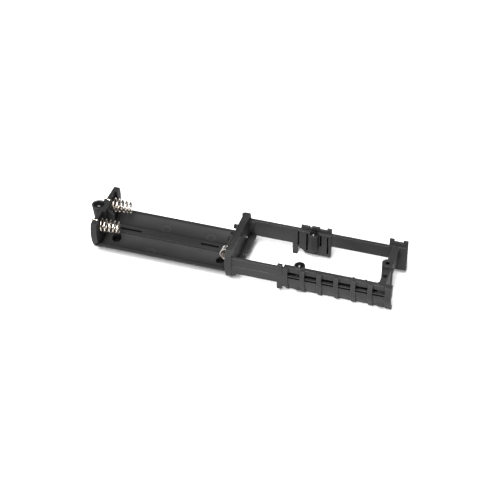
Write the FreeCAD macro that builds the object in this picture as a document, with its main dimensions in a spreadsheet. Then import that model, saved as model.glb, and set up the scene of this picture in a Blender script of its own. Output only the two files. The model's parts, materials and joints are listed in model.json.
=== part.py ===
"""Inner chassis of a slim hand-held electronic device.

A two-cell battery tray (left, -X) is fixed end to end to an open frame for a circuit board (right, +X).
Millimetres, +Z up. X runs along the chassis, Y across it. The origin is at the middle of the box that
encloses the chassis, on the plane that its lowest foot stands on.
"""
import FreeCAD, Part
import Sketcher
import math
import os
import re

DIMENSIONS = {
    # the round case that the chassis slides into, and the two size AAA cells
    "case_bore": 12.5,
    "cell_height": 8.5,
    "cell_pitch": 12.4,
    "flat_top": 14.0,
    "flat_base": 1.9,
    # battery tray
    "end_wall": -53.0,
    "end_wall_thick": 2.2,
    "end_wall_round": 12.2,
    "end_wall_lift": 1.6,
    "bay_length": 47.9,
    "channel_round": 5.45,
    "channel_skin": 1.15,
    "channel_rim": 4.65,
    "land_half": 2.0,
    "land_top": 5.15,
    "land_under": 3.3,
    "slot_floor": 3.7,
    "well_skin": 0.5,
    "well_base": 0.9,
    "seat_depth": 1.0,
    "seat_half": 3.05,
    "seat_play": 0.03,
    "notch_half": 0.5,
    "notch_floor": 13.4,
    "divider_reach": 2.2,
    "divider_half": 0.45,
    "divider_high": 12.5,
    "divider_low": 10.7,
    "tray_plate": 0.8,
    "plate_gap": 0.1,
    "slot_half": 0.55,
    "slot_one": 6.6,
    "slot_one_length": 8.1,
    "slot_two": 37.2,
    "slot_two_length": 6.8,
    "well_one_side": 2.1,
    "well_two_side": 1.3,
    "well_one": 6.5,
    "well_one_round": 1.7,
    "well_two": 46.0,
    "well_two_round": 1.5,
    "guard_reach": 2.1,
    "guard_half": 0.5,
    "guard_first": -2.0,
    "guard_pitch": 3.65,
    "guard_low": 10.9,
    "guard_high": 12.3,
    "knob_round": 0.6,
    "knob_side": 10.3,
    "knob_drop": 2.5,
    # screw bosses
    "end_boss_out": 1.4,
    "end_boss_round": 2.6,
    "end_boss_foot": 1.9,
    "end_boss_tall": 5.5,
    "pilot_round": 0.85,
    "pilot_deep": 6.0,
    "side_boss_x": 23.4,
    "side_boss_y": 9.03,
    "side_boss_round": 1.95,
    "rear_boss_round": 1.65,
    "side_boss_top": 11.7,
    "rear_boss_low": 4.6,
    "post_x": 52.4,
    "post_round": 2.0,
    "post_top": 12.8,
    "post_neck_round": 1.65,
    "post_neck_low": 10.5,
    "post_neck_high": 11.2,
    # board frame
    "bulkhead_thick": 1.4,
    "flank_deep": 1.6,
    "flank_gap": 0.05,
    "ledge_reach": 2.35,
    "ledge_top": 5.0,
    "ledge_thick": 0.9,
    "ledge_side": 10.9,
    "ledge_notch_y": -0.4,
    "ledge_notch_reach": 1.2,
    "ledge_notch_half": 1.25,
    "rail_inner": 10.7,
    "rail_outer": 12.0,
    "rail_top": 11.2,
    "rail_low": 4.75,
    "rail_groove": 0.15,
    "rail_crease": 8.0,
    "gusset_long": 1.9,
    "gusset_thick": 0.8,
    "frame_end": 57.0,
    "foot_nub_x": 0.4,
    "foot_nub_half": 0.55,
    "foot_nub_drop": 1.1,
    "front_lug_x": 16.1,
    "front_lug_low": 2.0,
    "front_lug_high": 12.3,
    "rear_lug_x": 15.35,
    "lug_wide": 1.7,
    "rear_web_low": 3.0,
    "lug_web_low": 3.5,
    # ribbed block on the front side
    "block_start": 18.3,
    "block_end": 56.6,
    "block_base": 0.8,
    "block_top": 11.6,
    "block_skin": 1.3,
    "block_inset": 9.0,
    "panel_inset": 0.45,
    "block_bevel": 1.1,
    "block_bevel_tall": 2.3,
    "recess_low": 7.35,
    "recess_face": 11.35,
    "recess_wall": 1.6,
    "fin_low": 8.15,
    "fin_thick": 0.25,
    "fin_face": 12.0,
    "finger_low": 8.45,
    "finger_high": 9.6,
    "finger_deep": 1.2,
    "rib_wide": 1.6,
    "rib_pitch": 6.03,
    "bump_first": 42.5,
    "bump_pitch": 4.4,
    "bump_size": 0.7,
    "bump_tall": 0.35,
    "bump_deep": 0.2,
    # rear side blocks
    "mid_block_start": 17.9,
    "mid_block_end": 29.4,
    "mid_block_face": 10.2,
    "mid_block_low": 1.7,
    "mid_gap_wide": 0.8,
    "mid_gap_web": 0.3,
    "mid_corner_long": 2.2,
    "mid_corner_tall": 2.8,
    "groove_one": 2.5,
    "groove_two": 7.5,
    "groove_three": 10.1,
    "groove_wide": 0.75,
    "groove_deep": 1.3,
    "groove_low": 4.2,
    "groove_high": 10.4,
    "slim_rail_low": 6.3,
    "end_block_start": 50.3,
    "end_block_low": 1.9,
    "end_block_top": 11.8,
    "tab_half": 0.35,
    "tab_height": 1.7,
    "strip_height": 1.2,
    "end_strip_height": 2.2,
    "tab_rise": 0.2,
    "end_tab_rise": 1.4,
    "tab_one": 0.3,
    "tab_one_wide": 3.2,
    "tab_two": 4.2,
    "tab_two_wide": 3.0,
    "tab_wide": 1.7,
    # cross wall at the open end
    "cross_wall_start": 51.6,
    "cross_wall_thick": 2.4,
    "cross_recess_y": 5.15,
    "cross_recess_half": 1.0,
    "cross_recess_deep": 3.0,
    # springs, link strap and contacts
    "wire_round": 0.32,
    "coil_base": 2.45,
    "coil_tip": 1.9,
    "coil_length": 6.4,
    "coil_turns": 4.3,
    "coil_closed": 0.5,
    "spring_lift": 1.5,
    "tail_out": 0.72,
    "tail_low": 6.0,
    "tail_bend": 0.6,
    "link_thick": 0.3,
    "link_low": 5.4,
    "link_high": 7.4,
    "contact_thick": 0.25,
    "contact_gap": 0.03,
    "leaf_half": 1.3,
    "leaf_round": 2.5,
    "leaf_reach": 3.3,
    "leaf_foot_low": 6.0,
    "leaf_foot_high": 13.5,
    "foot_front": 2.4,
    "foot_rear": 3.4,
    "leaf_height": 8.6,
    "leaf_tag_height": 6.6,
    "plus_half_y": 3.35,
    "plus_low": 5.6,
    "plus_high": 13.5,
    "plus_button": 1.6,
    "plus_button_thick": 1.1,
    "tag_y": 1.9,
    "tag_half": 0.35,
    "tag_height": 10.4,
    "tag_thick": 0.35,
    "tag_reach": 1.6,
    "tag_hole_play": 0.08,
    # screws
    "end_head_round": 1.9,
    "board_head_round": 1.45,
    "head_tall": 0.95,
    "head_rim": 0.35,
    "shank_round": 0.7,
    "shank_long": 5.0,
    "cross_share": 0.5,
    "cross_half": 0.16,
    "cross_deep": 0.5,
}

doc = FreeCAD.newDocument("device_chassis")
sheet = doc.addObject("Spreadsheet::Sheet", "dims")
for row, (alias, size) in enumerate(DIMENSIONS.items(), start=1):
    sheet.set("A%d" % row, alias)
    sheet.set("B%d" % row, str(size))
    sheet.setAlias("B%d" % row, alias)
doc.recompute()

subparts = []


def bound(text):
    """The expression text with every name of the sheet pointed at its cell."""
    return re.sub(r"[a-z][a-z_]+[a-z]", lambda m: "dims." + m.group() if m.group() in DIMENSIONS
                  else m.group(), str(text))


def set_base(item, x, y, z):
    for side, place in zip("xyz", (x, y, z)):
        item.setExpression("Placement.Base." + side, bound(place))


def box(x, y, z):
    """A block between the pairs of expressions x, y and z."""
    block = doc.addObject("Part::Box", "block")
    for size, (low, high) in zip(("Length", "Width", "Height"), (x, y, z)):
        block.setExpression(size, bound("(%s) - (%s)" % (high, low)))
    set_base(block, x[0], y[0], z[0])
    return block


def rod(along, radius, start, length, radius_end=None):
    """A round bar from the point start, or a cone where radius_end differs, along X, Y or Z."""
    if radius_end is None:
        bar = doc.addObject("Part::Cylinder", "rod")
        bar.setExpression("Radius", bound(radius))
    else:
        bar = doc.addObject("Part::Cone", "cone")
        bar.setExpression("Radius1", bound(radius))
        bar.setExpression("Radius2", bound(radius_end))
    bar.setExpression("Height", bound(length))
    turn = {"X": ((0, 1, 0), 90), "Y": ((1, 0, 0), -90), "Z": ((0, 0, 1), 0)}[along]
    bar.Placement.Rotation = FreeCAD.Rotation(FreeCAD.Vector(*turn[0]), turn[1])
    set_base(bar, *start)
    return bar


def fuse(*pieces):
    joined = doc.addObject("Part::MultiFuse", "fuse")
    joined.Shapes = list(pieces)
    joined.Refine = True
    return joined


def cut(base, *tools):
    carved = doc.addObject("Part::Cut", "cut")
    carved.Base = base
    carved.Tool = tools[0] if len(tools) == 1 else fuse(*tools)
    carved.Refine = True
    return carved


def common(*pieces):
    shared = doc.addObject("Part::MultiCommon", "common")
    shared.Shapes = list(pieces)
    shared.Refine = True
    return shared


def wedge(outline, low, high):
    """A flat plate across Y, from low to high, whose outline is a list of (x, z) expressions."""
    sketch = doc.addObject("Sketcher::SketchObject", "outline")
    sketch.Placement.Rotation = FreeCAD.Rotation(FreeCAD.Vector(1, 0, 0), 90)
    corners = len(outline)
    for index in range(corners):
        near = FreeCAD.Vector(math.cos(6.28 * index / corners), math.sin(6.28 * index / corners), 0)
        far = FreeCAD.Vector(math.cos(6.28 * (index + 1) / corners), math.sin(6.28 * (index + 1) / corners), 0)
        sketch.addGeometry(Part.LineSegment(near, far))
    for index, (x, z) in enumerate(outline):
        sketch.addConstraint(Sketcher.Constraint("Coincident", index, 2, (index + 1) % corners, 1))
        for kind, place in (("DistanceX", x), ("DistanceY", z)):
            where = sketch.addConstraint(Sketcher.Constraint(kind, -1, 1, index, 1, 1.0))
            sketch.setExpression("Constraints[%d]" % where, bound(place))
    plate = doc.addObject("Part::Extrusion", "plate")
    plate.Base = sketch
    plate.DirMode = "Custom"
    plate.Dir = FreeCAD.Vector(0, 1, 0)
    plate.Solid = True
    plate.setExpression("LengthFwd", bound("(%s) - (%s)" % (high, low)))
    plate.setExpression("Placement.Base.y", bound(low))
    return plate


def keep(item, label):
    """Marks a finished piece as the sub-part called label."""
    item.Label = label
    subparts.append(item)
    return item


def value(alias):
    return float(DIMENSIONS[alias])


# places along the chassis that several pieces share
INNER_FACE = "(end_wall + end_wall_thick)"
BAY_END = "(end_wall + end_wall_thick + bay_length)"
PLATE_END = "(end_wall + end_wall_thick + bay_length + tray_plate)"
BULKHEAD = "(end_wall + end_wall_thick + bay_length + tray_plate + plate_gap)"
FRAME_START = "(end_wall + end_wall_thick + bay_length + tray_plate + plate_gap + bulkhead_thick)"
CELL_SIDES = ("-cell_pitch / 2", "cell_pitch / 2")
ACROSS = ("-case_bore - 1", "case_bore + 1")
RIBS = 7
BUMPS = 3
STEPS_PER_TURN = 16
GUARDS = 3
# where the solder tags of the plate and of the leaf run
TAGS = (("tag_y", "tag_height"), ("-cell_pitch / 2", "leaf_tag_height"))


def case_disc(radius, start, length, lift="0"):
    """An upright plate with the round outline of the case, raised by lift, flat at its top and its base."""
    disc = rod("X", radius, (start, 0, "cell_height + " + lift), length)
    band = box((start, "(%s) + (%s)" % (start, length)), ACROSS, ("flat_base", "flat_top"))
    return common(disc, band)


def battery_tray():
    """Two open cell channels with a wall at each end, spring seats in one and guards on the other."""
    floor_start = "(%s - end_wall_thick / 2)" % INNER_FACE
    floor_length = "end_wall_thick / 2 + bay_length + tray_plate"
    skins = [rod("X", "channel_round + channel_skin", (floor_start, side, "cell_height"), floor_length)
             for side in CELL_SIDES]
    below_rim = box((floor_start, PLATE_END), ACROSS, (0, "channel_rim"))
    land = box((floor_start, PLATE_END), ("-land_half", "land_half"), ("land_under", "land_top"))
    floor = fuse(common(fuse(*skins), below_rim), land)
    cells = [rod("X", "channel_round", (INNER_FACE, side, "cell_height"), "bay_length")
             for side in CELL_SIDES]

    slots = [box(("end_wall + " + start, "end_wall + %s + %s_length" % (start, start)),
                 ("-slot_half", "slot_half"), ("slot_floor", "flat_top")) for start in ("slot_one", "slot_two")]
    cups, wells = [], []
    for well in ("well_one", "well_two"):
        spot = ("end_wall + " + well, well + "_side - cell_pitch / 2")
        cups.append(rod("Z", well + "_round + well_skin", (*spot, "well_base"), "channel_rim - well_base"))
        wells.append(rod("Z", well + "_round", (*spot, "well_base + well_skin"), "land_top"))
    floor = cut(fuse(floor, *cups), *cells, *slots, *wells)

    wall = case_disc("end_wall_round", "end_wall", "end_wall_thick", "end_wall_lift")
    boss = rod("Z", "end_boss_foot", ("end_wall - end_boss_out", 0, "flat_top - end_boss_tall"),
               "end_boss_tall", "end_boss_round")
    web = box(("end_wall - end_boss_out", "end_wall + end_wall_thick / 2"),
              ("-end_boss_foot", "end_boss_foot"), ("flat_top - end_boss_tall", "flat_top"))
    divider = wedge([(floor_start, "land_under"), ("%s + divider_reach" % INNER_FACE, "land_under"),
                     ("%s + divider_reach" % INNER_FACE, "divider_low"), (INNER_FACE, "divider_high"),
                     (floor_start, "divider_high")], "-divider_half", "divider_half")
    plate = cut(case_disc("case_bore", BAY_END, "tray_plate"), front_flank("flank_gap"))
    knob = rod("Z", "knob_round", (BAY_END, "knob_side", "flat_top - knob_drop"), "knob_drop")
    guards = [box(("%s - guard_reach" % BAY_END, "%s + tray_plate / 2" % BAY_END), guard_sides(tooth, 0),
                  ("guard_low", "guard_high")) for tooth in range(GUARDS)]

    hollows = []
    for side in CELL_SIDES:
        seat = "%s - seat_depth" % INNER_FACE
        hollows.append(rod("X", "seat_half", (seat, side, "cell_height + spring_lift"), "seat_depth + 1"))
        hollows.append(box((seat, "%s + 1" % INNER_FACE), (side + " - seat_half", side + " + seat_half"),
                           ("cell_height + spring_lift", "flat_top + 1")))
        tail = side + " - coil_base"
        hollows.append(box(("end_wall - 1", INNER_FACE), (tail + " - notch_half", tail + " + notch_half"),
                           ("notch_floor", "flat_top + 1")))
    hollows.append(rod("Z", "shank_round", ("end_wall - end_boss_out", 0, "flat_top - shank_long"),
                       "shank_long + 1"))
    end_pieces = cut(fuse(wall, boss, web), *hollows)
    far_end = cut(fuse(plate, knob, *guards), *tag_slots(BAY_END, "tray_plate"))
    return fuse(floor, end_pieces, divider, far_end)


def front_flank(play):
    """The block at the frame's front corner that laps over the end of the tray, grown inward by play."""
    return box((BAY_END + " - 1", "%s + bulkhead_thick / 2" % BULKHEAD),
               (ACROSS[0], "flank_deep - case_bore + %s" % play), (0, "flat_top + 1"))


def guard_sides(step, play):
    """The two sides of the guard tooth at this step, each moved outward by play."""
    middle = "guard_first + %d * guard_pitch" % step
    return "%s - guard_half - %s" % (middle, play), "%s + guard_half + %s" % (middle, play)


def tag_slots(start, thick):
    """The two slots that the contacts' solder tags pass through, cut from start through thick."""
    return [box((start + " - 1", "%s + %s + 1" % (start, thick)),
                (side + " - tag_half - tag_hole_play", side + " + tag_half + tag_hole_play"),
                (height + " - tag_hole_play", height + " + tag_thick + tag_hole_play"))
            for side, height in TAGS]


def bulkhead():
    """The upright plate beside the tray, its lap over the tray's front corner, its ledge and its gusset."""
    plate = case_disc("case_bore", BULKHEAD, "bulkhead_thick")
    plate = cut(plate, *tag_slots(BULKHEAD, "bulkhead_thick"))
    lap = common(case_disc("case_bore", BAY_END, "tray_plate + plate_gap + bulkhead_thick / 2"), front_flank(0))
    inside = "%s - bulkhead_thick / 2" % FRAME_START
    ledge = box((inside, "%s + ledge_reach" % FRAME_START), ("-ledge_side", "ledge_side"),
                ("ledge_top - ledge_thick", "ledge_top"))
    notch = box(("%s + ledge_reach - ledge_notch_reach" % FRAME_START, "%s + ledge_reach + 1" % FRAME_START),
                ("ledge_notch_y - ledge_notch_half", "ledge_notch_y + ledge_notch_half"), (0, "ledge_top + 1"))
    gusset = wedge([(inside, "ledge_top - 1"), (FRAME_START, "ledge_top - 1"), (FRAME_START, "ledge_top"),
                    ("%s + gusset_long" % FRAME_START, "rail_top"), (inside, "rail_top")],
                   "rail_inner - gusset_thick", "(rail_inner + rail_outer) / 2")
    return [plate, lap, cut(ledge, notch), gusset]


def front_rail():
    """The plain front rail, stepped back above its crease, with its foot nub and its locating lug."""
    rail_span = (BULKHEAD, "block_start + 1")
    upper = box(rail_span, ("rail_groove - rail_outer", "-rail_inner"), ("rail_low", "rail_top"))
    lower = box(rail_span, ("-rail_outer", "-rail_inner"), ("rail_low", "rail_crease"))
    nub = box(("foot_nub_x - foot_nub_half", "foot_nub_x + foot_nub_half"),
              ("rail_groove - rail_outer", "-rail_inner"), ("rail_low - foot_nub_drop", "rail_low + 1"))
    lug = box(("front_lug_x", "front_lug_x + lug_wide"), ("-rail_outer", "-rail_inner"),
              ("front_lug_low", "front_lug_high"))
    web = box(("front_lug_x + lug_wide / 2", "block_start + block_skin"), ("-rail_outer", "-rail_inner"),
              ("lug_web_low", "rail_low + 1"))
    return [upper, lower, nub, lug, web]


def skin(radius, x, z):
    """A strip of the round case skin on the front side, from radius inward by block_skin."""
    span = "(%s) - (%s)" % (x[1], x[0])
    outer = rod("X", radius, (x[0], 0, "cell_height"), span)
    inner = rod("X", "case_bore - block_skin", (x[0] + " - 1", 0, "cell_height"), span + " + 2")
    strip = box(x, (ACROSS[0], "-block_inset"), z)
    return common(cut(outer, inner), strip)


def ribbed_block():
    """The gripped front block: upright ribs over recessed panels, with a fin and a finger groove above."""
    length = ("block_start", "block_end")
    panels = skin("case_bore - panel_inset", length, ("block_base", "recess_low"))
    wall = box(length, ("-recess_face", "recess_wall - recess_face"), ("recess_low - 1", "block_top"))
    groove = box(("block_start + rib_wide", "block_end - rib_wide / 3"),
                 ("-recess_face - 1", "finger_deep - recess_face"), ("finger_low", "finger_high"))
    fin = box(length, ("-fin_face", "-recess_face"), ("fin_low", "fin_low + fin_thick"))
    ribs = []
    for rib in range(RIBS):
        start = "block_start + %d * rib_pitch" % rib
        ribs.append(skin("case_bore", (start, start + " + rib_wide"), ("block_base", "block_top")))
    end_rib = skin("case_bore", ("block_end - rib_wide / 3", "block_end"), ("block_base", "block_top"))
    bevel = wedge([("block_start - 1", "block_base - 1"), ("block_start + block_bevel", "block_base - 1"),
                   ("block_start + block_bevel / 2", "block_base + block_bevel_tall / 2"),
                   ("block_start - 1", "block_base + 1.5 * block_bevel_tall")], ACROSS[0], 0)
    bumps = [box(("bump_first + %d * bump_pitch" % bump, "bump_first + %d * bump_pitch + bump_size" % bump),
                 ("bump_deep - recess_face", "recess_wall - recess_face"),
                 ("block_top - 1", "block_top + bump_tall")) for bump in range(BUMPS)]
    return [cut(fuse(panels, cut(wall, groove), fin, *ribs, end_rib), bevel), *bumps]


def rear_side():
    """The rear rail in two depths, its middle and end blocks, its long lug and the tabs on its top."""
    rail = box((BULKHEAD, "mid_block_start + 1"), ("rail_inner", "rail_outer"), ("rail_low", "rail_top"))
    lug = box(("rear_lug_x", "rear_lug_x + lug_wide"), ("rail_inner", "rail_outer"), (0, "rail_top"))
    middle = box(("mid_block_start", "mid_block_end"), ("mid_block_face", "rail_outer"),
                 ("mid_block_low", "rail_top"))
    web = box(("rear_lug_x + lug_wide / 2", "mid_block_start + 1"), ("rail_inner", "rail_outer"),
              ("rear_web_low", "rail_low + 1"))
    corner = wedge([("mid_block_start - 1", 0), ("mid_block_start + mid_corner_long", 0),
                    ("mid_block_start + mid_corner_long", "mid_block_low"),
                    ("mid_block_start + mid_corner_long / 2", "mid_block_low + mid_corner_tall / 2"),
                    ("mid_block_start - 1", "mid_block_low + 0.6 * mid_corner_tall")], 0, "case_bore")
    grooves = [box(("mid_block_start + " + groove, "mid_block_start + %s + groove_wide" % groove),
                   ("mid_block_face - 1", "mid_block_face + groove_deep"), (low, "groove_high"))
               for groove, low in (("groove_one", "mid_block_low + 1"), ("groove_two", "groove_low + 1.5"),
                                   ("groove_three", "mid_block_low + 1"))]
    gap = box(("mid_block_start - mid_gap_wide", "mid_block_start"),
              ("mid_block_face - 1", "rail_outer - mid_gap_web"), ("groove_low", "groove_high"))
    middle = cut(fuse(rail, middle, web), corner, *grooves, gap)
    slim = box(("mid_block_end - 1", "end_block_start + 1"), ("rail_inner", "rail_outer"),
               ("slim_rail_low", "rail_top"))
    end_block = box(("end_block_start", "frame_end"), ("rail_inner", "rail_outer"),
                    ("end_block_low", "end_block_top"))
    tabs = [box((start, "%s + %s" % (start, wide)), ("rail_outer - 2 * tab_half", "rail_outer"),
                ("rail_top - 1", "rail_top + tab_height + " + rise))
            for start, wide, rise in (("mid_block_start + tab_one", "tab_one_wide", "0"),
                                      ("mid_block_start + tab_two", "tab_two_wide", "tab_rise"),
                                      ("mid_block_end - tab_wide", "tab_wide", "2 * tab_rise"),
                                      ("end_block_start", "tab_wide", "end_tab_rise"),
                                      ("frame_end - tab_wide", "tab_wide", "end_tab_rise"))]
    strips = [box((start, end), ("rail_outer - 2 * tab_half", "rail_outer"),
                  ("rail_top - 1", "rail_top + " + height))
              for start, end, height in (("mid_block_start + tab_one", "mid_block_end", "strip_height"),
                                         ("end_block_start", "frame_end", "end_strip_height"))]
    return [lug, middle, slim, end_block, *strips, *tabs]


def frame_bosses():
    """Bosses for the two side screws and the open one on the cross wall, with the holes they need."""
    front = rod("Z", "side_boss_round", ("side_boss_x", "-side_boss_y", "flat_base"),
                "side_boss_top - flat_base")
    rear = rod("Z", "rear_boss_round", ("side_boss_x", "side_boss_y", "rear_boss_low"),
               "side_boss_top - rear_boss_low")
    post = rod("Z", "post_round", ("post_x", 0, "flat_base"), "post_neck_low - flat_base")
    neck = rod("Z", "post_neck_round", ("post_x", 0, "flat_base"), "post_neck_high - flat_base + 0.5")
    collar = rod("Z", "post_round", ("post_x", 0, "post_neck_high"), "post_top - post_neck_high")
    holes = [rod("Z", "shank_round", ("side_boss_x", side, "side_boss_top - shank_long"), "shank_long + 1")
             for side in ("-side_boss_y", "side_boss_y")]
    holes.append(rod("Z", "pilot_round", ("post_x", 0, "post_top - pilot_deep"), "pilot_deep + 1"))
    return [front, rear, post, neck, collar], holes


def cross_wall():
    """The wall across the open end: deep in front of the post, shallow behind it."""
    span = ("cross_wall_start", "cross_wall_start + cross_wall_thick")
    deep = box(span, ("-rail_inner - 0.3", 0), ("flat_base + 0.2", "rail_top"))
    recess = box(("cross_wall_start - 1", "cross_wall_start + cross_wall_thick - 0.6"),
                 ("-cross_recess_y - cross_recess_half", "cross_recess_half - cross_recess_y"),
                 ("rail_top - cross_recess_deep", "rail_top + 1"))
    shallow = box(span, (0, "rail_inner + 0.3"), ("slim_rail_low", "rail_top"))
    return [cut(deep, recess), shallow]


def board_frame():
    """The open frame beside the tray, with its bosses bored last."""
    bosses, holes = frame_bosses()
    solid = fuse(*bulkhead(), *front_rail(), *ribbed_block(), *rear_side(), *cross_wall(), *bosses)
    return cut(solid, *holes)


def battery_spring(side):
    """A conical compression spring round X, whose tail hooks over the end wall and down its outside."""
    wire, bend = value("wire_round"), value("tail_bend")
    base_x = value("end_wall") + value("end_wall_thick") - value("seat_depth") + wire + value("seat_play")
    centre_z = value("cell_height") + value("spring_lift")
    turns, closed = value("coil_turns"), value("coil_closed")
    tail_y = side - value("coil_base")
    top, foot = value("notch_floor") + wire + value("seat_play"), value("tail_low")
    out_x = value("end_wall") - value("tail_out")
    # up the outside of the wall, over its notch, down the inside and into the first coil
    points = [(out_x, tail_y, foot + share * (top - foot)) for share in (0, 0.4, 0.8)]
    points += [(out_x, tail_y, top - bend), (out_x + 0.3 * bend, tail_y, top - 0.25 * bend),
               (out_x + bend, tail_y, top), (base_x - bend, tail_y, top),
               (base_x - 0.3 * bend, tail_y, top - 0.25 * bend), (base_x, tail_y, top - bend),
               (base_x, tail_y, (top - bend + centre_z) / 2)]
    count = int((turns + 2 * closed) * STEPS_PER_TURN)
    for step in range(count + 1):
        angle = 2 * math.pi * step / STEPS_PER_TURN
        along = min(max(step / STEPS_PER_TURN - closed, 0) / turns, 1)
        lift = value("coil_length") * along + 2.1 * wire * closed * (step / count)
        radius = value("coil_base") + (value("coil_tip") - value("coil_base")) * along
        points.append((base_x + lift, side - radius * math.cos(angle), centre_z - radius * math.sin(angle)))
    vectors = [FreeCAD.Vector(*point) for point in points]
    curve = Part.BSplineCurve()
    curve.interpolate(vectors)
    section = Part.Wire([Part.Circle(vectors[0], FreeCAD.Vector(0, 0, 1), wire).toShape()])
    spring = doc.addObject("Part::Feature", "spring")
    spring.Shape = Part.Wire([curve.toShape()]).makePipeShell([section], True, True)
    return spring


def link_strap():
    """The flat strap on the outside of the end wall that joins the two spring tails."""
    tails = ("-cell_pitch / 2 - coil_base", "cell_pitch / 2 - coil_base")
    return box(("end_wall - contact_gap - link_thick", "end_wall - contact_gap"),
               (tails[0] + " - 2.5 * wire_round", tails[1] + " + 2.5 * wire_round"),
               ("link_low", "link_high"))


def solder_tag(side, height):
    """The narrow tag of a contact, through both walls and out over the ledge of the frame."""
    return box(("%s - contact_gap - contact_thick" % BAY_END, "%s + tag_reach" % FRAME_START),
               (side + " - tag_half", side + " + tag_half"), (height, height + " + tag_thick"))


def negative_leaf():
    """The bowed leaf that the flat end of the front cell presses on."""
    side = CELL_SIDES[0]
    face = "%s - contact_gap" % BAY_END
    width = (side + " - leaf_half", side + " + leaf_half")
    plate = box((face + " - contact_thick", face), (side + " - foot_front", side + " + foot_rear"),
                ("leaf_foot_low", "leaf_foot_high"))
    start = ("%s - leaf_reach + leaf_round" % face, width[0] + " - 1", "leaf_height")
    outer = rod("Y", "leaf_round", start, "2 * leaf_half + 2")
    inner = rod("Y", "leaf_round - contact_thick", start, "2 * leaf_half + 2")
    before = box((face + " - case_bore", face + " - contact_thick / 2"), width, (0, "flat_top"))
    return fuse(plate, common(cut(outer, inner), before), solder_tag(*TAGS[1]))


def positive_plate():
    """The flat plate behind the guards, with the round button that the rear cell's tip meets."""
    side = CELL_SIDES[1]
    face = "%s - contact_gap" % BAY_END
    plate = box((face + " - contact_thick", face), ("tag_y - tag_half", side + " + plus_half_y"),
                ("plus_low", "plus_high"))
    button = rod("X", "plus_button", (face + " - contact_thick - plus_button_thick", side, "cell_height"),
                 "contact_thick / 2 + plus_button_thick")
    teeth = [box(("%s - guard_reach - 1" % BAY_END, "%s + 1" % BAY_END), guard_sides(tooth, "contact_gap"),
                 ("guard_low - contact_gap", "guard_high + contact_gap")) for tooth in range(GUARDS)]
    return fuse(cut(fuse(plate, button), *teeth), solder_tag(*TAGS[0]))


def dome_screw(head, x, y, z):
    """A small domed screw of this head radius with a cross recess, its head's underside at z."""
    drum = rod("Z", head, (x, y, z), "head_tall")
    rise = "(head_tall - head_rim)"
    crown = "((%s^2 + %s^2) / (2 * %s))" % (head, rise, rise)
    ball = doc.addObject("Part::Sphere", "ball")
    ball.setExpression("Radius", bound(crown))
    set_base(ball, x, y, "%s + head_tall - %s" % (z, crown))
    shank = rod("Z", "shank_round", (x, y, z + " - shank_long"), "shank_long + head_rim / 2")
    reach = "%s * cross_share" % head
    low = z + " + head_tall - cross_deep"
    bars = [box(("%s - %s" % (x, long), "%s + %s" % (x, long)), ("%s - %s" % (y, wide), "%s + %s" % (y, wide)),
                (low, low + " + 1")) for long, wide in ((reach, "cross_half"), ("cross_half", reach))]
    return cut(fuse(common(drum, ball), shank), *bars)


keep(battery_tray(), "battery_tray")
keep(board_frame(), "board_frame")
keep(battery_spring(-value("cell_pitch") / 2), "front_battery_spring")
keep(battery_spring(value("cell_pitch") / 2), "rear_battery_spring")
keep(link_strap(), "spring_link")
keep(negative_leaf(), "negative_contact_leaf")
keep(positive_plate(), "positive_contact_plate")
keep(dome_screw("end_head_round", "end_wall - end_boss_out", "0", "flat_top"), "tray_end_screw")
keep(dome_screw("board_head_round", "side_boss_x", "-side_boss_y", "side_boss_top"), "front_board_screw")
keep(dome_screw("board_head_round", "side_boss_x", "side_boss_y", "side_boss_top"), "rear_board_screw")
doc.recompute()

for item in doc.Objects:
    if "Invalid" in item.State or "Error" in item.State:
        raise SystemExit("%s (%s) failed: %s" % (item.Name, item.Label, item.State))

os.makedirs("parts", exist_ok=True)
for item in subparts:
    shape = item.Shape
    if shape.isNull() or not shape.isValid():
        raise SystemExit("%s has no valid shape" % item.Label)
    shape.exportStep("parts/%s.step" % item.Label)
    print("%-24s %2d solids %10.2f mm3" % (item.Label, len(shape.Solids), shape.Volume))
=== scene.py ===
"""Looks of the two-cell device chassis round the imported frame.

Materials for every node, detailed springs and contact leaf in place of the plain ones, light and camera.
"""
import json
import math

import bmesh
import bpy
from mathutils import Matrix, Vector


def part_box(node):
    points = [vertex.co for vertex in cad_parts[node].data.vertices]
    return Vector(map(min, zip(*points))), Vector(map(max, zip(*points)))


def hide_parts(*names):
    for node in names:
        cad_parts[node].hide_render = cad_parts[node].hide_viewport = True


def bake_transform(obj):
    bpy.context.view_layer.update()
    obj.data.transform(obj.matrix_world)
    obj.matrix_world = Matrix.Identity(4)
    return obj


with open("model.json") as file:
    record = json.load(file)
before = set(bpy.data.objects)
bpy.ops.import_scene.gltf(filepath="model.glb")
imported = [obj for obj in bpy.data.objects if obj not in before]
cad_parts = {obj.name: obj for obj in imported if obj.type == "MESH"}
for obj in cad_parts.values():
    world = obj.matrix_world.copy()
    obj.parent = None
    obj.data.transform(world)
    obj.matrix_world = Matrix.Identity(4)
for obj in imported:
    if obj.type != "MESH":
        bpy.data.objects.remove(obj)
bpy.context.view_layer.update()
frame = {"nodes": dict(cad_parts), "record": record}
MM = 0.001

# the battery springs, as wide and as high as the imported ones
WIRE_RADIUS = 0.32 * MM
WIRE_SEAT_X = -51.45 * MM
COIL_AXIS_Z = 10.0 * MM
COIL_NARROWS = 0.55 * MM
COIL_TURNS = 4.3
COIL_CLOSED = 0.5
COIL_STEPS = 40
COIL_UNEVEN = 0.012
TAIL_BEND = 0.62 * MM

# the front cell's contact leaf, on the wall beside the frame
LEAF_WALL_X = -2.93 * MM
LEAF_THICK = 0.25 * MM
LEAF_MIDDLE_Y = -6.2 * MM
LEAF_MIDDLE_Z = 8.6 * MM
LEAF_HALF = 1.3 * MM
LEAF_RISE = 2.45 * MM
LEAF_ROUNDNESS = 0.9
LEAF_STEPS = 36
PLATE_CORNER = 0.5 * MM
TAG_Z = 6.775 * MM
TAG_HALF = 0.35 * MM
TAG_THICK = 0.35 * MM
TAG_STEPS = 6

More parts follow.
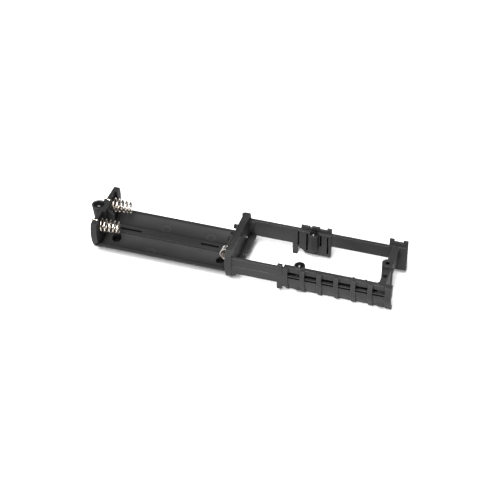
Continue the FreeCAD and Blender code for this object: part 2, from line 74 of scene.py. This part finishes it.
# mould pin marks in the cell channels, as (x, y) in mm
PIN_MARKS = ((-31.4, 6.4), (-14.2, 6.3), (-32.4, -7.4))
PIN_RADIUS_MM = 1.5
PIN_LINE_MM = 0.3

# ---------------------------------------------------------------- materials

class Nodes:
    """A material's node tree, with short ways to add what the finishes below share."""

    def __init__(self, name):
        self.material = bpy.data.materials.new(name)
        self.material.use_nodes = True
        self.tree = self.material.node_tree
        self.shader = self.tree.nodes["Principled BSDF"]
        coords = self.tree.nodes.new("ShaderNodeTexCoord")
        self.place = coords.outputs["Object"]

    def add(self, kind, **settings):
        node = self.tree.nodes.new(kind)
        for key, setting in settings.items():
            setattr(node, key, setting)
        return node

    def link(self, source, target):
        self.tree.links.new(source, target)

    def noise(self, size_mm, detail=4.0, roughness=0.55, stretch=(1, 1, 1)):
        """Noise whose lumps are about size_mm across, drawn out by stretch along X, Y and Z."""
        scale = self.add("ShaderNodeMapping")
        scale.inputs["Scale"].default_value = [1 / s for s in stretch]
        self.link(self.place, scale.inputs["Vector"])
        noise = self.add("ShaderNodeTexNoise")
        noise.inputs["Scale"].default_value = 1 / (size_mm * MM)
        noise.inputs["Detail"].default_value = detail
        noise.inputs["Roughness"].default_value = roughness
        self.link(scale.outputs["Vector"], noise.inputs["Vector"])
        return noise.outputs["Fac"]

    def spread(self, fac, low, high, start=0.0, end=1.0):
        """fac mapped from start..end to low..high, held inside them."""
        node = self.add("ShaderNodeMapRange")
        for socket, number in zip(("From Min", "From Max", "To Min", "To Max"), (start, end, low, high)):
            node.inputs[socket].default_value = number
        self.link(fac, node.inputs["Value"])
        return node.outputs["Result"]

    def math(self, operation, a, b):
        node = self.add("ShaderNodeMath", operation=operation)
        for socket, value in zip(node.inputs, (a, b)):
            if isinstance(value, (int, float)):
                socket.default_value = value
            else:
                self.link(value, socket)
        return node.outputs[0]

    def ramp(self, fac, *stops):
        """A colour ramp through (place, grey or colour) stops."""
        node = self.add("ShaderNodeValToRGB")
        points = node.color_ramp.elements
        while len(points) < len(stops):
            points.new(0.5)
        for point, (place, colour) in zip(points, stops):
            point.position = place
            point.color = (*colour, 1) if isinstance(colour, tuple) else (colour, colour, colour, 1)
        self.link(fac, node.inputs["Fac"])
        return node.outputs["Color"]

    def blend(self, fac, first, second):
        node = self.add("ShaderNodeMix", data_type="RGBA")
        self.link(fac, node.inputs["Factor"])
        self.link(first, node.inputs[6])
        if isinstance(second, tuple):
            node.inputs[7].default_value = (*second, 1)
        else:
            self.link(second, node.inputs[7])
        return node.outputs[2]

    def edges(self, radius_mm, sharp=0.985):
        """How near an edge the surface is, 0 on the flat and 1 on a corner, and the rounded normal."""
        bevel = self.add("ShaderNodeBevel", samples=6)
        bevel.inputs["Radius"].default_value = radius_mm * MM
        plain = self.add("ShaderNodeNewGeometry")
        dot = self.add("ShaderNodeVectorMath", operation="DOT_PRODUCT")
        self.link(bevel.outputs["Normal"], dot.inputs[0])
        self.link(plain.outputs["Normal"], dot.inputs[1])
        return self.spread(dot.outputs["Value"], 1, 0, 0.75, sharp), bevel.outputs["Normal"]

    def bump(self, height, strength, distance_mm, normal=None):
        node = self.add("ShaderNodeBump")
        node.inputs["Strength"].default_value = strength
        node.inputs["Distance"].default_value = distance_mm * MM
        self.link(height, node.inputs["Height"])
        if normal is not None:
            self.link(normal, node.inputs["Normal"])
        return node.outputs["Normal"]

    def ring(self, x_mm, y_mm, radius_mm, wide_mm):
        """1 on a thin upright ring round (x, y), falling to 0 beside it."""
        away = self.add("ShaderNodeVectorMath", operation="MULTIPLY_ADD")
        away.inputs[1].default_value = (1, 1, 0)
        away.inputs[2].default_value = (-x_mm * MM, -y_mm * MM, 0)
        self.link(self.place, away.inputs[0])
        far = self.add("ShaderNodeVectorMath", operation="LENGTH")
        self.link(away.outputs["Vector"], far.inputs[0])
        off = self.math("ABSOLUTE", self.math("SUBTRACT", far.outputs["Value"], radius_mm * MM), 0.0)
        return self.spread(off, 1, 0, 0, wide_mm * MM)

    def openness(self, reach_mm):
        """0 deep in a slot or an inner corner, 1 where nothing stands within reach_mm."""
        around = self.add("ShaderNodeAmbientOcclusion", samples=8)
        around.inputs["Distance"].default_value = reach_mm * MM
        return self.spread(around.outputs["AO"], 0, 1, 0.25, 0.7)

    def finish(self, colour, roughness, normal, **even):
        """Joins what varies to the shader, and sets what is the same all over."""
        self.link(colour, self.shader.inputs["Base Color"])
        self.link(roughness, self.shader.inputs["Roughness"])
        self.link(normal, self.shader.inputs["Normal"])
        for socket, number in even.items():
            self.shader.inputs[socket.replace("_", " ")].default_value = number
        return self.material


def moulded(name, dark, light, rough_low, rough_high, grain, pale_wear_and_highlight, specular, pins=()):
    """Moulded black plastic: flow marks, fine grain, pin marks, paler edges of rubbed wear with a painted
    highlight, and painted shade in recesses.
    """
    m = Nodes(name)
    flow = m.noise(9.0, 3.0, stretch=(3.0, 1, 1))
    specks = m.noise(0.35, 6.0, 0.7)
    base = m.ramp(m.math("ADD", m.math("MULTIPLY", flow, 0.7), m.math("MULTIPLY", specks, 0.3)),
                  (0.3, dark), (0.7, light))
    edge, rounded = m.edges(0.18)
    # paler edges: partly rubbed wear, partly a painted highlight where light catches the rounded edges
    worn_and_highlit_edge = m.math("MULTIPLY", edge, m.spread(m.noise(1.6, 5.0), 0.15, 1.0, 0.35, 0.65))
    colour = m.blend(worn_and_highlit_edge, base, pale_wear_and_highlight)
    for x, y in pins:
        mark = m.math("MULTIPLY", m.ring(x, y, PIN_RADIUS_MM, PIN_LINE_MM), 0.22)
        colour = m.blend(mark, colour, pale_wear_and_highlight)
    # painted shade: ambient occlusion darkens slots, inner corners and recesses nearly to black
    painted_recess_shade = m.math("SUBTRACT", 1.0, m.openness(4.0))
    colour = m.blend(painted_recess_shade, colour, (0.0015, 0.0015, 0.0015))
    rough = m.spread(m.noise(5.0, 5.0), rough_low, rough_high, 0.3, 0.7)
    rough = m.math("ADD", rough, m.math("MULTIPLY", m.math("SUBTRACT", specks, 0.5), 0.12))
    fine = m.bump(m.noise(0.09, 3.0), grain, 0.02, rounded)
    waves = m.bump(m.noise(6.0, 2.0, stretch=(2.5, 1, 1)), 0.12, 0.25, fine)
    return m.finish(colour, rough, waves, Specular_IOR_Level=specular)


def plated(name, dark, light, warm, rough_low, rough_high, brushed):
    """Nickel plated metal: drawn lines along its length, darker and warmer in patches."""
    m = Nodes(name)
    patches = m.noise(1.8, 5.0)
    base = m.ramp(patches, (0.35, dark), (0.55, light), (0.75, light))
    tint = m.spread(m.noise(0.8, 4.0), 0.0, 0.8, 0.45, 0.72)
    colour = m.blend(tint, base, warm)
    rough = m.spread(m.noise(0.5, 6.0), rough_low, rough_high, 0.3, 0.7)
    lines = m.noise(0.06, 2.0, stretch=brushed)
    return m.finish(colour, rough, m.bump(lines, 0.15, 0.01), Metallic=1.0)


def screw_black():
    """Black plated steel, glossy, with a fine grain and scuffs on the edges."""
    m = Nodes("screw_finish")
    base = m.ramp(m.noise(0.6, 5.0), (0.35, 0.002), (0.7, 0.006))
    edge, rounded = m.edges(0.06)
    scuffed = m.math("MULTIPLY", edge, m.spread(m.noise(0.4, 4.0), 0.0, 0.8, 0.4, 0.65))
    colour = m.blend(scuffed, base, (0.10, 0.097, 0.095))
    rough = m.spread(m.noise(0.3, 5.0), 0.05, 0.14, 0.3, 0.7)
    return m.finish(colour, rough, m.bump(m.noise(0.12, 4.0), 0.15, 0.015, rounded),
                    Specular_IOR_Level=0.35)


def floor_finish():
    m = Nodes("studio_floor")
    colour = m.ramp(m.noise(60.0, 3.0), (0.3, 0.9), (0.7, 0.93))
    rough = m.spread(m.noise(20.0, 3.0), 0.55, 0.7)
    return m.finish(colour, rough, m.bump(m.noise(2.0, 3.0), 0.02, 0.05))


FINISHES = {
    "gloss_black": moulded("gloss_finish", 0.013, 0.024, 0.52, 0.64, 0.15, (0.08, 0.08, 0.082), 0.10,
                           pins=PIN_MARKS),
    "matte_black": moulded("matte_finish", 0.015, 0.031, 0.48, 0.62, 0.35, (0.15, 0.148, 0.145), 0.08),
    "spring_wire": plated("spring_finish", (0.24, 0.20, 0.17), (0.70, 0.67, 0.62), (0.44, 0.33, 0.24),
                          0.14, 0.3, (1, 1, 1)),
    "contact_metal": plated("contact_finish", (0.62, 0.58, 0.55), (0.92, 0.89, 0.86), (0.78, 0.64, 0.58),
                            0.24, 0.4, (1, 1, 12)),
    "screw_black": screw_black(),
}
for part in frame["record"]["subparts"]:
    node = frame["nodes"][part["node"]]
    node.data.materials.clear()
    node.data.materials.append(FINISHES[part["material_slot"]])


# ---------------------------------------------------------------- pieces

def new_piece(name, slot):
    mesh = bpy.data.meshes.new(name)
    piece = bpy.data.objects.new(name, mesh)
    bpy.context.scene.collection.objects.link(piece)
    mesh.materials.append(FINISHES[slot])
    return piece


def tube(piece, line, radius, sides=20):
    """Fills piece with a round wire of this radius along the points of line, with domed ends."""
    net = bmesh.new()
    rings = []
    ahead = (line[1] - line[0]).normalized()
    across = ahead.orthogonal().normalized()
    reach = [(-radius * math.cos(turn), math.sin(turn)) for turn in (0.35, 0.8, 1.2)]
    stops = [(line[0] + ahead * back, scale) for back, scale in reach]
    points = [spot for spot, _ in stops] + list(line)
    scales = [scale for _, scale in stops] + [1.0] * len(line)
    last = (line[-1] - line[-2]).normalized()
    points += [line[-1] - last * back for back, _ in reversed(reach)]
    scales += [scale for _, scale in reversed(reach)]
    for index, (spot, scale) in enumerate(zip(points, scales)):
        before, after = points[max(index - 1, 0)], points[min(index + 1, len(points) - 1)]
        ahead = (after - before).normalized()
        across = (across - ahead * across.dot(ahead)).normalized()
        up = ahead.cross(across)
        rings.append([net.verts.new(spot + (across * math.cos(turn) + up * math.sin(turn)) * radius * scale)
                      for turn in (2 * math.pi * side / sides for side in range(sides))])
    for near, far in zip(rings, rings[1:]):
        for side in range(sides):
            net.faces.new((near[side], near[(side + 1) % sides], far[(side + 1) % sides], far[side]))
    net.faces.new(list(reversed(rings[0])))
    net.faces.new(rings[-1])
    for face in net.faces:
        face.smooth = True
    net.to_mesh(piece.data)
    net.free()


def rounded_line(corners, bend, steps=7):
    """The points of a line through corners, each inner corner rounded from bend before it to bend after."""
    line = [corners[0]]
    for before, corner, after in zip(corners, corners[1:], corners[2:]):
        start = corner + (before - corner).normalized() * bend
        end = corner + (after - corner).normalized() * bend
        for step in range(steps + 1):
            share = step / steps
            line.append(start * (1 - share) ** 2 + corner * 2 * share * (1 - share) + end * share ** 2)
    return line + [corners[-1]]


def battery_spring(node):
    """A wound wire spring: tail outside the wall, hook over it, closed turn, open cone, closed end."""
    low, high = (Vector(corner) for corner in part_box(node))
    wall_top = high.z - WIRE_RADIUS
    outside, tip = low.x + WIRE_RADIUS, high.x - WIRE_RADIUS
    tail_y = low.y + WIRE_RADIUS
    base = (high.y - low.y) / 2 - WIRE_RADIUS
    centre = Vector((0, (low.y + high.y) / 2, COIL_AXIS_Z))
    corners = [Vector((outside, tail_y, low.z)), Vector((outside, tail_y, wall_top)),
               Vector((WIRE_SEAT_X, tail_y, wall_top)), Vector((WIRE_SEAT_X, tail_y, centre.z))]
    line = rounded_line(corners, TAIL_BEND)[:-1]
    closed_rise = 0.5 * WIRE_RADIUS * COIL_CLOSED
    count = int((COIL_TURNS + 2 * COIL_CLOSED) * COIL_STEPS)
    for step in range(count + 1):
        angle = 2 * math.pi * step / COIL_STEPS
        along = min(max(step / COIL_STEPS - COIL_CLOSED, 0) / COIL_TURNS, 1)
        eased = along + COIL_UNEVEN * math.sin(4 * math.pi * along)
        x = WIRE_SEAT_X + (tip - WIRE_SEAT_X - closed_rise) * eased + closed_rise * step / count
        radius = base - COIL_NARROWS * along
        line.append(Vector((x, centre.y - radius * math.cos(angle), centre.z - radius * math.sin(angle))))
    piece = new_piece(node + "_wire", "spring_wire")
    tube(piece, line, WIRE_RADIUS)
    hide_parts(node)
    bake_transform(piece)


battery_spring("front_battery_spring")
battery_spring("rear_battery_spring")


def ribbon(net, line, low_y, high_y, thick):
    """Adds to net a sprung strip of this thickness along line, which runs in the XZ plane."""
    rings = []
    for index, spot in enumerate(line):
        before, after = line[max(index - 1, 0)], line[min(index + 1, len(line) - 1)]
        ahead = (after - before).normalized()
        out = Vector((-ahead.z, 0, ahead.x)) * thick / 2
        soft = thick / 3
        profile = [(low_y, -0.4), (low_y + soft, -1), (high_y - soft, -1), (high_y, -0.4),
                   (high_y, 0.4), (high_y - soft, 1), (low_y + soft, 1), (low_y, 0.4)]
        rings.append([net.verts.new(Vector((spot.x, y, spot.z)) + out * share) for y, share in profile])
    for near, far in zip(rings, rings[1:]):
        for side in range(8):
            net.faces.new((near[side], near[(side + 1) % 8], far[(side + 1) % 8], far[side]))
    net.faces.new(list(reversed(rings[0])))
    net.faces.new(rings[-1])


def contact_leaf(node):
    """The front cell's contact: a plate with rounded corners, its bowed tongue and its solder tag."""
    low, high = (Vector(corner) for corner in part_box(node))
    net = bmesh.new()
    outline = []
    for side, top, start in ((high.y, high.z, 0), (low.y, high.z, 90),
                             (low.y, low.z, 180), (high.y, low.z, 270)):
        cy = side - math.copysign(PLATE_CORNER, side - (low.y + high.y) / 2)
        cz = top - math.copysign(PLATE_CORNER, top - (low.z + high.z) / 2)
        outline += [(cy + PLATE_CORNER * math.cos(math.radians(start + step * 18)),
                     cz + PLATE_CORNER * math.sin(math.radians(start + step * 18))) for step in range(6)]
    faces = [[net.verts.new((x, y, z)) for y, z in outline] for x in (LEAF_WALL_X - LEAF_THICK, LEAF_WALL_X)]
    net.faces.new(list(reversed(faces[0])))
    net.faces.new(faces[1])
    for index in range(len(outline)):
        after = (index + 1) % len(outline)
        net.faces.new((faces[0][index], faces[0][after], faces[1][after], faces[1][index]))
    foot_x = LEAF_WALL_X - LEAF_THICK / 2
    reach = LEAF_WALL_X - LEAF_THICK - low.x
    turns = [math.pi * step / LEAF_STEPS for step in range(LEAF_STEPS + 1)]
    bow = [Vector((foot_x - reach * math.sin(turn) ** LEAF_ROUNDNESS, 0,
                   LEAF_MIDDLE_Z + LEAF_RISE * math.cos(turn))) for turn in turns]
    ribbon(net, bow, LEAF_MIDDLE_Y - LEAF_HALF, LEAF_MIDDLE_Y + LEAF_HALF, LEAF_THICK)
    tag = [Vector((foot_x + (high.x - LEAF_WALL_X) * step / TAG_STEPS, 0, TAG_Z))
           for step in range(TAG_STEPS + 1)]
    ribbon(net, tag, LEAF_MIDDLE_Y - TAG_HALF, LEAF_MIDDLE_Y + TAG_HALF, TAG_THICK)
    bmesh.ops.recalc_face_normals(net, faces=net.faces)
    piece = new_piece(node + "_strip", "contact_metal")
    net.to_mesh(piece.data)
    net.free()
    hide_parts(node)
    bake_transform(piece)


contact_leaf("negative_contact_leaf")


# ---------------------------------------------------------------- light, floor and camera

def plane(name, size, place):
    piece = bpy.data.objects.new(name, bpy.data.meshes.new(name))
    net = bmesh.new()
    bmesh.ops.create_grid(net, x_segments=8, y_segments=8, size=size)
    net.to_mesh(piece.data)
    net.free()
    piece.location = place
    bpy.context.scene.collection.objects.link(piece)
    return piece


floor = plane("studio_floor", 3.0, (0, 0, -0.0001))
floor.data.materials.append(floor_finish())

world = bpy.data.worlds.new("studio")
world.use_nodes = True
world.node_tree.nodes["Background"].inputs["Color"].default_value = (1, 1, 1, 1)
world.node_tree.nodes["Background"].inputs["Strength"].default_value = 0.12
bpy.context.scene.world = world
bpy.context.scene.view_settings.view_transform = "Standard"


def softbox(name, azimuth, elevation, distance, size, power):
    """A square area light that looks at the chassis from this side and height, in degrees."""
    turn, lift = math.radians(azimuth), math.radians(elevation)
    place = Vector((math.sin(turn) * math.cos(lift), -math.cos(turn) * math.cos(lift), math.sin(lift)))
    place *= distance
    light = bpy.data.lights.new(name, "AREA")
    light.shape = "SQUARE"
    light.size = size
    light.energy = power
    lamp = bpy.data.objects.new(name, light)
    lamp.location = place
    lamp.rotation_euler = (-place).to_track_quat("-Z", "Y").to_euler()
    bpy.context.scene.collection.objects.link(lamp)


LIGHT_DISTANCE = 0.8
softbox("key_front", 2, 46, LIGHT_DISTANCE, 0.4, 9.5)
softbox("top", 2, 74, LIGHT_DISTANCE, 0.4, 7.0)
softbox("glint_near", 4, 60, LIGHT_DISTANCE, 0.1, 1.0)
softbox("glint_far", -34, 52, LIGHT_DISTANCE, 0.1, 1.0)

CAMERA_PLACE_MM = (129.69, -407.30, 352.73)
CAMERA_TURN = 17.328
CAMERA_DROP = 39.056

camera_data = bpy.data.cameras.new("camera")
camera_data.sensor_width = 36.0
camera_data.lens = 111.5
camera_data.clip_start = 0.01
camera = bpy.data.objects.new("camera", camera_data)
turn, lift = math.radians(CAMERA_TURN), math.radians(CAMERA_DROP)
side = Vector((math.cos(turn), math.sin(turn), 0))
level = Vector((-math.sin(turn), math.cos(turn), 0))
forward = level * math.cos(lift) - Vector((0, 0, math.sin(lift)))
upward = level * math.sin(lift) + Vector((0, 0, math.cos(lift)))
camera.matrix_world = Matrix.Translation(Vector(CAMERA_PLACE_MM) * MM) @ Matrix(
    (side, upward, -forward)).transposed().to_4x4()
bpy.context.scene.collection.objects.link(camera)
bpy.context.scene.camera = camera
